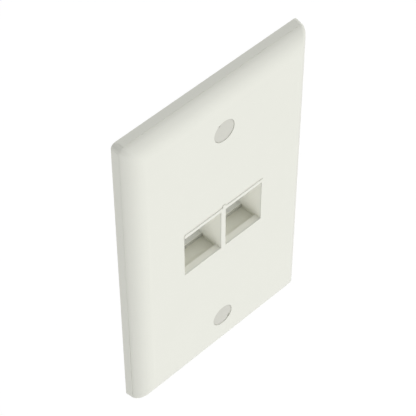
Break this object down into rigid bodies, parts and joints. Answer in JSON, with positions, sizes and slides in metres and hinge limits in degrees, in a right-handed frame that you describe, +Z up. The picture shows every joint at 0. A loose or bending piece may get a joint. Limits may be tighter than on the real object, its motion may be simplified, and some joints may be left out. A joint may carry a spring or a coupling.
{
  "type": "keystone faceplate",
  "caption": "Flat wall plate with a rounded border, side-by-side snap-in jack openings with latch ledges, and push-in caps over its mounting screws.",
  "frame": {"origin": "middle of the plate on the wall plane, half way between the two screws", "axes": "+X to the right along the width as seen from the front, +Z up along the height, +Y out of the back towards the wall; the front looks along -Y"},
  "size_m": [0.0698, 0.0141, 0.1142],
  "materials": {
    "plate": "off-white moulded plastic, satin",
    "cap": "slightly greyer moulded plastic, satin",
    "screw": "off-white enamelled head on a zinc-plated steel shank"
  },
  "bodies": {
    "root": {"faceplate": "plate", "screw_cap_upper": "cap", "screw_cap_lower": "cap", "screw_upper": "screw", "screw_lower": "screw"}
  },
  "joints": []
}
